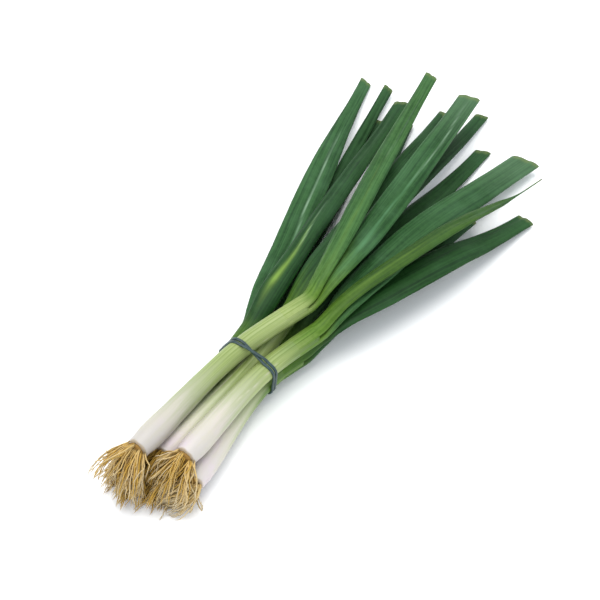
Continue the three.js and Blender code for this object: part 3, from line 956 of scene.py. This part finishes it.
    def _on_stem(self, shank: Track, foot: Foot, length: float, share: float) -> Spot:
        """A point of the sheath, at a length before the collar, that lies on the stem's own skin."""
        along = shank.end + length
        radius = shank.radius(along, foot.angle)
        sunk = 0.2 * MM * (1 - ease(length + self.sheath, 0, self.sheath_fading))
        size = (radius * foot.share - sunk) * share
        x, z = size * math.sin(foot.angle), size * math.cos(foot.angle)
        marks = Vector((0.0, 1.0, length + self.stem_greened))
        return Spot(shank.cross(along).point(x, z), Vector((x, z, length)), marks)

    def build(self, shank: Track, materials: Dict[Tone, bpy.types.Material]) -> bpy.types.Object:
        """Makes the piece."""
        skin = self.skin(shank)
        return finished(skin, f"{self.node}_skin", materials[self.style.tone], [self.node])


@dataclass
class Shank:
    """The bulb and stem of one onion, up to where its leaves part."""

    node: str
    seed: int
    ripened: Tuple[float, float]
    columns: int = 44
    row_length: float = 1.8 * MM
    core: float = 7 * MM
    core_rows: int = 6
    skin_step: float = 0.16 * MM
    foot_height: float = 1.6 * MM
    lump: float = 0.1 * MM
    covered: Ramp = (19 * MM, 34 * MM)
    skin_start: Ramp = (3 * MM, 10 * MM)
    track: Track = field(init=False, repr=False)

    def follow(self, node: bpy.types.Object) -> None:
        """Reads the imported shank."""
        self.track = Track(node, self.columns, spacing=2.5 * MM, skip=(3 * MM, 6 * MM),
                           flatness=lambda _: 1.0, orders=3, softness=3.2 * MM)

    def skin(self) -> bmesh.types.BMesh:
        """The shank's closed skin, with a core that narrows between the leaves' feet."""
        start, end = self.track.start, self.track.end
        angles = self.track.angles
        body_rows = int(round((end - start) / self.row_length))
        wander = Drift(self.seed, 60 * MM)
        lumps = Drift(self.seed + 7, 31 * MM)
        foot = [(0.0, 0.0), (0.0, 0.55), (0.35 * MM, 0.86), (1.1 * MM, 0.97)]

        def spot(row: int, column: int) -> Spot:
            """One point of the skin."""
            angle = angles[column]
            share = 1.0
            past = row - len(foot) - body_rows
            if row < len(foot):
                rise, share = foot[row]
                length = start + rise
            elif past < 0:
                body = end - start - self.foot_height
                length = start + self.foot_height + body * (row - len(foot)) / body_rows
            else:
                length = end + self.core * past / self.core_rows
                share = 1 - ease(past, 0, self.core_rows)
            risen = length - start
            x, z = self.track.outline(length)[column] * share
            beside = turned(angle - (0.9 + 0.35 * wander(length) + self.seed))
            shown = ease(risen, *self.skin_start) * ease(end - length, *self.covered)
            step_out = self.skin_step * (ease(beside, 0, 0.08) - ease(beside, 0.4, 2.4))
            step_out += self.lump * lumps(length) * math.sin(angle * 2 + self.seed)
            size = math.hypot(x, z) or 1.0
            x, z = x * (1 + step_out * shown / size), z * (1 + step_out * shown / size)
            ragged = 1.1 * MM * math.sin(5 * angle + self.seed) * lumps(length + 9 * MM * angle)
            line = bell(beside, 0.05) * shown - 1 + ease(risen, 0.2 * MM, 2.0 * MM + ragged)
            marks = Vector((risen + self.ripened[0], line, length - end + self.ripened[1]))
            place = self.track.cross(length).point(x, z)
            return Spot(place, Vector((x, z, length - end)), marks)

        return rolled_sheet(self.columns, len(foot) + body_rows + self.core_rows, spot)

    def build(self, material: bpy.types.Material) -> bpy.types.Object:
        """Makes the piece."""
        return finished(self.skin(), f"{self.node}_skin", material, [self.node])


@dataclass
class Roots:
    """The matted tuft at the foot of one onion."""

    node: str
    seed: int
    sweep: float = 0.0
    paleness: float = 0.0
    locks: int = 16
    strands_per_lock: int = 11
    sides: int = 3
    knots: int = 9
    length: Tuple[float, float] = (22 * MM, 36 * MM)
    radii: Tuple[float, float] = (0.40 * MM, 0.72 * MM)
    splay: float = 0.55
    plate_radius: float = 4.9 * MM
    room: float = 2.0 * MM
    droop: float = 0.28
    sinking: float = 0.15
    turning_on: float = 0.62
    guide_curl: float = 0.09
    strand_curl: float = 0.24
    shares: Tuple[float, float] = (0.55, 1.1)
    pulls: Tuple[float, float] = (0.3, 0.85)
    shift: float = 0.5 * MM
    frizz: float = 0.16 * MM
    lowest: float = 0.6 * MM
    lock_turn: float = 2.4
    tapering: float = 0.55
    plate_depth: float = 1.7 * MM
    plate_shade: float = 1.6

    def _template(self, form: bmesh.types.BMesh) -> List[bmesh.types.BMVert]:
        """A straight strand of length 1 along +Z, pointed at both ends, made by extrusion."""
        made = bmesh.ops.create_circle(form, segments=self.sides, radius=1.0)
        verts = list(made["verts"])
        edges = list({edge for vertex in verts for edge in vertex.link_edges})
        everything = list(verts)
        for _ in range(self.knots):
            grown = bmesh.ops.extrude_edge_only(form, edges=edges)["geom"]
            verts = [item for item in grown if isinstance(item, bmesh.types.BMVert)]
            edges = [item for item in grown if isinstance(item, bmesh.types.BMEdge)]
            bmesh.ops.translate(form, verts=verts, vec=(0, 0, 1 / self.knots))
            everything += verts
        return everything

    def _walk(self, random: np.random.Generator, start: Vector, heading: Vector, length: float,
              low: Vector, high: Vector, curl: float) -> np.ndarray:
        """Knots of a wandering line that sinks to the table and stays in the tuft's room."""
        knots = [np.array(start)]
        way = np.array(heading)
        turn = random.normal(0, curl, 3)
        step = length / self.knots
        for _ in range(self.knots):
            turn = turn * self.turning_on + random.normal(0, curl, 3) * 0.6
            way = way + turn + np.array([self.sweep, 0, -self.sinking])
            way = way / np.linalg.norm(way)
            point = knots[-1] + way * step
            knots.append(np.minimum(np.maximum(point, np.array(low)), np.array(high)))
        return np.array(knots)

    def tuft(self, shank: Track) -> bmesh.types.BMesh:
        """All the strands with the plate that they grow from."""
        random = np.random.default_rng(self.seed)
        low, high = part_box(self.node)
        low = low - Vector((1, 2.5, 0)) * self.room
        low.z = 0.5 * MM
        high = high + Vector((-0.5, 0, 0)) * self.room
        foot = shank.cross(shank.start)
        back = -foot.ahead
        form = bmesh.new()
        grain = form.verts.layers.float_vector.new("grain")
        template = self._template(form)
        pattern = list({
            item for vertex in template
            for item in (vertex, *vertex.link_edges, *vertex.link_faces)
        })
        for lock in range(self.locks):
            turn = lock * self.lock_turn + random.uniform(0, 0.6)
            spread = math.sqrt((lock + 0.5) / self.locks)
            out = foot.across * math.cos(turn) + foot.away * math.sin(turn)
            root = foot.middle + out * (self.plate_radius * spread)
            root = root + foot.ahead * random.uniform(0.3, 1.6) * MM
            heading = (back + out * (self.splay * spread) - UP * self.droop).normalized()
            reach = random.uniform(*self.length)
            guide = self._walk(random, root, heading, reach, low, high, self.guide_curl)
            for _ in range(self.strands_per_lock):
                length = reach * random.uniform(*self.shares)
                own = self._walk(random, root, heading, length, low, high, self.strand_curl)
                pull = random.uniform(*self.pulls)
                line = guide * pull + own * (1 - pull)
                line = line + random.normal(0, self.shift, 3) + random.normal(0, self.frizz, line.shape)
                line[:, 2] = np.maximum(line[:, 2], self.lowest)
                tone = clamp(random.uniform(0, 1) + self.paleness, 0.0, 1.0)
                radius = random.uniform(*self.radii)
                copied = bmesh.ops.duplicate(form, geom=pattern)["geom"]
                verts = [item for item in copied if isinstance(item, bmesh.types.BMVert)]
                self._lay(verts, line, radius, tone, 1 - spread, grain)
        bmesh.ops.delete(form, geom=template, context="VERTS")
        self._plate(form, foot, grain)
        bmesh.ops.remove_doubles(form, verts=form.verts[:], dist=MERGE)
        return form

    def _lay(self, verts: Sequence[bmesh.types.BMVert], line: np.ndarray, radius: float, tone: float,
             depth: float, grain: bmesh.types.BMLayerItem) -> None:
        """Bends a straight strand along its line."""
        ways = np.gradient(line, axis=0)
        for vertex in verts:
            knot = int(round(vertex.co.z * self.knots))
            share = knot / self.knots
            ahead = Vector(ways[knot]).normalized()
            side = ahead.cross(UP)
            side = side.normalized() if side.length > 1e-6 else Vector((1, 0, 0))
            rise = side.cross(ahead)
            taper = 0.0 if knot in (0, self.knots) else 1 - self.tapering * share
            x, z = vertex.co.x * radius * taper, vertex.co.y * radius * taper
            vertex.co = Vector(line[knot]) + side * x + rise * z
            vertex.co.z = max(vertex.co.z, 0.05 * MM)
            # The third number makes strands near the tuft's middle and base golden brown, partly painted
            # shade.
            vertex[grain] = Vector((share, tone, depth * (1 - 0.6 * share)))

    def _plate(self, form: bmesh.types.BMesh, foot: Cross, grain: bmesh.types.BMLayerItem) -> None:
        """The knobbly plate under the bulb."""
        made = bmesh.ops.create_uvsphere(form, u_segments=14, v_segments=8, radius=1.0)
        bump = Drift(self.seed + 3, 1.3)
        for vertex in made["verts"]:
            x, y, z = vertex.co
            swell = 1 + 0.12 * bump(3 * x + 5 * y + 7 * z)
            size = self.plate_radius * 0.94 * swell
            back = y * self.plate_depth * swell + 0.3 * MM
            vertex.co = foot.point(x * size, z * size) - foot.ahead * back
            vertex.co.z = max(vertex.co.z, 0.4 * MM)
            vertex[grain] = Vector((0.0, 0.0, self.plate_shade))

    def build(self, shank: Track, material: bpy.types.Material) -> bpy.types.Object:
        """Makes the piece."""
        return finished(self.tuft(shank), f"{self.node}_strands", material, [self.node])


@dataclass
class RubberBand:
    """One thin band wound twice round the stems, with its turns crossing on top."""

    node: str = "rubber_band"
    width: float = 1.6 * MM
    thickness: float = 1.1 * MM
    spacing: float = 2.3 * MM
    pressed_in: float = 0.12 * MM
    crossing: float = 0.148
    crossing_reach: float = 10 * MM
    crossing_gap: float = 0.1 * MM
    switching: float = 5.0
    hull_steps: int = 180
    steps: int = 420
    sides: int = 12
    squareness: float = 0.55
    glance: float = 0.004

    def _loop(self, shanks: Sequence[Track], y: float) -> np.ndarray:
        """The taut line round the stems, as x and z."""
        circles = []
        for shank in shanks:
            for shift in (-2 * MM, 0.0, 2 * MM):
                length = float(np.interp(y + shift, shank.line[:, 1], shank.lengths))
                middle = shank.cross(length).middle
                circles.append((middle.x, middle.z, float(shank.radii(length).mean())))
        points = []
        for k in range(self.hull_steps):
            angle = TURN * k / self.hull_steps
            out = (math.cos(angle), math.sin(angle))
            x, z, radius = max(circles, key=lambda c: c[0] * out[0] + c[1] * out[1] + c[2])
            reach = radius + self.thickness / 2 - self.pressed_in
            points.append((x + out[0] * reach, z + out[1] * reach))
        return np.array(points)

    def skin(self, shanks: Sequence[Track]) -> bmesh.types.BMesh:
        """The band's closed skin."""
        front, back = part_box(self.node)
        y = (front.y + back.y) / 2
        loop = self._loop(shanks, y)
        closed = np.vstack([loop, loop[:1]])
        gone = lengths_of(closed)
        girth = gone[-1]

        def at(share: float) -> Vector:
            """The point of the loop at a share of its girth."""
            length = (share % 1.0) * girth
            return Vector([np.interp(length, gone, closed[:, k]) for k in range(2)])

        def spot(row: int, column: int) -> Spot:
            """One point of the skin."""
            turn = TURN * row / self.steps - math.pi
            share = (turn / math.pi - 0.5 + self.crossing) % 1.0
            centre = at(share)
            way = (at(share + self.glance) - at(share - self.glance)).normalized()
            beside = self.spacing / 2 * clamp(self.switching * math.cos(turn), -1.0, 1.0)
            from_crossing = abs(turn - math.pi / 2) / math.pi * girth
            climb = ease(self.crossing_reach - from_crossing, 0, self.crossing_reach / 2)
            climb = climb * (self.thickness + self.crossing_gap)
            angle = TURN * column / self.sides
            flat, high = (
                math.copysign(abs(value) ** self.squareness, value)
                for value in (math.sin(angle), math.cos(angle))
            )
            out = high * self.thickness / 2 + climb
            axial = flat * self.width / 2
            place = Vector((centre.x + way.y * out, y + beside + axial, centre.y - way.x * out))
            return Spot(place, Vector((abs(flat), 0.0, 0.0)))

        return rolled_sheet(self.sides, self.steps, spot, ring=True)

    def build(self, shanks: Sequence[Track], material: bpy.types.Material) -> bpy.types.Object:
        """Makes the piece."""
        return finished(self.skin(shanks), "rubber_band_skin", material, [self.node])


# The bunch


@dataclass(frozen=True)
class OnionPlan:
    """One onion.

    Attributes:
        letter: as in its nodes' names.
        painted_light_factor: a factor on its bulb's colours, painted light that evens out how brightly each
            bulb is lit.
        ripened: how much further than its length its stem has turned green, at plate and collar.
        sweep: how much its roots turn to the right.
        paleness: how pale its roots are; below 0 they are golden, partly painted shade for roots lying low.
        leaves: its leaves' styles, the lowest first.
    """

    letter: str
    painted_light_factor: float
    ripened: Tuple[float, float]
    sweep: float
    paleness: float
    leaves: Tuple[LeafStyle, ...]


ONION_PLANS = (
    OnionPlan("g", 1.0, (10 * MM, 28 * MM), 0.0, -0.35, (
        LeafStyle(Tone.DEEP, greened=50 * MM),
        LeafStyle(Tone.DEEP, fold=20, greened=50 * MM),
    )),
    OnionPlan("f", 1.0, (10 * MM, 28 * MM), 0.0, -0.35, (
        LeafStyle(Tone.DEEP, greened=50 * MM),
        LeafStyle(Tone.DEEP, greened=50 * MM),
        LeafStyle(Tone.DEEP, fold=-15, greened=50 * MM),
    )),
    OnionPlan("d", 1.14, (6 * MM, 50 * MM), -0.17, 0.5, (
        LeafStyle(Tone.DEEP, greened=48 * MM),
        LeafStyle(Tone.DEEP, fold=-30, fold_depth=0.9 * MM, breadth=1.14, greened=48 * MM),
    )),
    OnionPlan("e", 1.2, (10 * MM, 52 * MM), 0.0, -0.2, (
        LeafStyle(Tone.TEAL, fold=10, fold_depth=0.9 * MM, fold_highlight=0.95, fold_end=45 * MM,
                  breadth=1.06, greened=66 * MM),
        LeafStyle(Tone.DEEP, fold=-20, fold_depth=0.8 * MM, fold_highlight=0.9, fold_end=100 * MM,
                  breadth=0.86, greened=66 * MM),
    )),
    OnionPlan("b", 1.34, (20 * MM, 14 * MM), -0.02, -0.45, (
        LeafStyle(Tone.DEEP, fold=20, greened=34 * MM),
        LeafStyle(Tone.DEEP, fold=-10, fold_depth=0.5 * MM, breadth=1.12, greened=40 * MM),
    )),
    OnionPlan("c", 1.04, (11 * MM, 22 * MM), -0.04, -0.05, (
        LeafStyle(Tone.TEAL, fold=15, fold_depth=0.6 * MM, tip_light=0.18, breadth=1.08,
                  greened=44 * MM),
        LeafStyle(Tone.LIGHT, fold_depth=0.8 * MM, fold_highlight=0.25, fold_end=20 * MM,
                  greened=30 * MM, thread=24 * MM),
    )),
    OnionPlan("a", 0.93, (12 * MM, 0.0), 0.06, 0.1, (
        LeafStyle(Tone.TEAL, fold=18, fold_depth=0.8 * MM, fold_highlight=0.85, tip_light=0.16,
                  breadth=1.08, greened=22 * MM),
        LeafStyle(Tone.FRESH, fold=10, fold_depth=0.6 * MM, fold_highlight=0.2, breadth=1.14,
                  greened=34 * MM),
    )),
)


@dataclass
class Onion:
    """One spring onion: a shank, its roots and its leaves."""

    plan: OnionPlan
    seed: int
    shank: Shank = field(init=False)
    roots: Roots = field(init=False)
    leaves: List[Leaf] = field(init=False)

    def __post_init__(self) -> None:
        """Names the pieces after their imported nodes."""
        plan = self.plan
        name = f"onion_{plan.letter}"
        self.shank = Shank(f"{name}_shank", self.seed, plan.ripened)
        self.roots = Roots(f"{name}_roots", self.seed + 11, plan.sweep, plan.paleness)
        self.leaves = [
            Leaf(f"{name}_leaf_{k + 1}", style, self.seed * 10 + k, plan.ripened[1])
            for k, style in enumerate(plan.leaves)
        ]

    def build(self, nodes: Dict[str, bpy.types.Object], shank: bpy.types.Material,
              roots: bpy.types.Material, leaves: Dict[Tone, bpy.types.Material]) -> None:
        """Makes every piece of the onion."""
        self.shank.follow(nodes[self.shank.node])
        for leaf in self.leaves:
            leaf.follow(nodes[leaf.node])
            leaf.build(self.shank.track, leaves)
        self.shank.build(shank)
        self.roots.build(self.shank.track, roots)


@dataclass
class Bunch:
    """The whole object."""

    nodes: Dict[str, bpy.types.Object]

    def build(self) -> None:
        """Makes the onions and the band."""
        leaves = {finish.tone: finish.material() for finish in LEAF_FINISHES}
        roots = RootFinish().material()
        onions = [Onion(plan, seed) for seed, plan in enumerate(ONION_PLANS, start=1)]
        for onion in onions:
            plan = onion.plan
            # Each onion's shank gets its own material, made lighter or darker by painted light.
            shank = ShankFinish(painted_light_factor=plan.painted_light_factor).material(f"onion_shank_{plan.letter}")
            onion.build(self.nodes, shank, roots, leaves)
        RubberBand().build([onion.shank.track for onion in onions], BandFinish().material())


# The studio


@dataclass
class Studio:
    """A pale table, soft light from almost overhead and the camera at the photograph's angle."""

    azimuth: float = 35.0
    elevation: float = 52.0
    distance: float = 1.25
    lens: float = 134.25
    aim_beside_band: float = 0.9 * MM
    aim_past_band: float = 45 * MM
    aim_height: float = 15 * MM
    aim_right: float = 2.4 * MM
    aim_up: float = 10.3 * MM
    key_power: float = 58.0
    key_size: float = 2.4
    key_colour: Colour = (1.0, 0.98, 0.94)
    key_left: float = 0.25
    key_ahead: float = 0.30
    key_height: float = 2.6
    sky: Colour = (0.90, 0.945, 1.0)
    sky_strength: float = 1.20
    table_size: float = 6.0
    table_drop: float = 0.05 * MM

    @staticmethod
    def _face(thing: bpy.types.Object, place: Vector, way: Vector) -> None:
        """Puts a camera or light at a place, turned so that it looks along a direction."""
        thing.rotation_mode = "QUATERNION"
        thing.location = place
        thing.rotation_quaternion = way.to_track_quat("-Z", "Y")

    def camera(self) -> None:
        """Sets up the camera, aimed a little past the band."""
        low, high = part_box("rubber_band")
        turn, rise = math.radians(self.azimuth), math.radians(self.elevation)
        level = Vector((math.sin(turn), -math.cos(turn), 0.0))
        back = level * math.cos(rise) + UP * math.sin(rise)
        right = Vector((math.cos(turn), math.sin(turn), 0.0))
        up = back.cross(right)
        middle = (low + high) / 2
        aim = Vector((middle.x + self.aim_beside_band, middle.y + self.aim_past_band, self.aim_height))
        aim = aim + right * self.aim_right + up * self.aim_up
        data = bpy.data.cameras.new("camera")
        data.sensor_width = 36.0
        data.lens = self.lens
        data.clip_start = 0.01
        data.clip_end = 50.0
        camera = placed("camera", data)
        self._face(camera, aim + back * self.distance, -back)
        bpy.context.scene.camera = camera

    def lights(self) -> None:
        """A broad key light from almost overhead and an even sky."""
        data = bpy.data.lights.new("key", "AREA")
        data.energy = self.key_power
        data.color = self.key_colour
        data.shape = "DISK"
        data.size = self.key_size
        turn = math.radians(self.azimuth)
        left = Vector((-math.cos(turn), -math.sin(turn), 0.0))
        ahead = Vector((-math.sin(turn), math.cos(turn), 0.0))
        place = left * self.key_left + ahead * self.key_ahead + UP * self.key_height
        self._face(placed("key", data), place, -place)
        world = bpy.data.worlds.new("sky")
        world.use_nodes = True
        background = world.node_tree.nodes["Background"]
        background.inputs["Color"].default_value = (*self.sky, 1.0)
        background.inputs["Strength"].default_value = self.sky_strength
        bpy.context.scene.world = world

    def table(self) -> None:
        """The pale table."""
        form = bmesh.new()
        bmesh.ops.create_grid(form, x_segments=1, y_segments=1, size=self.table_size)
        bmesh.ops.translate(form, verts=form.verts[:], vec=-UP * self.table_drop)
        table = placed("table", mesh_of(form, "table", TableFinish().material()))

    def build(self) -> None:
        """Sets up the whole studio."""
        self.camera()
        self.lights()
        self.table()
        bpy.context.scene.view_settings.view_transform = "Standard"


def main() -> None:
    """Builds the bunch and its studio."""
    logging.basicConfig(level=logging.INFO, format="%(message)s")
    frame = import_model()
    Bunch(frame["nodes"]).build()
    Studio().build()


if __name__ == "__main__":
    main()
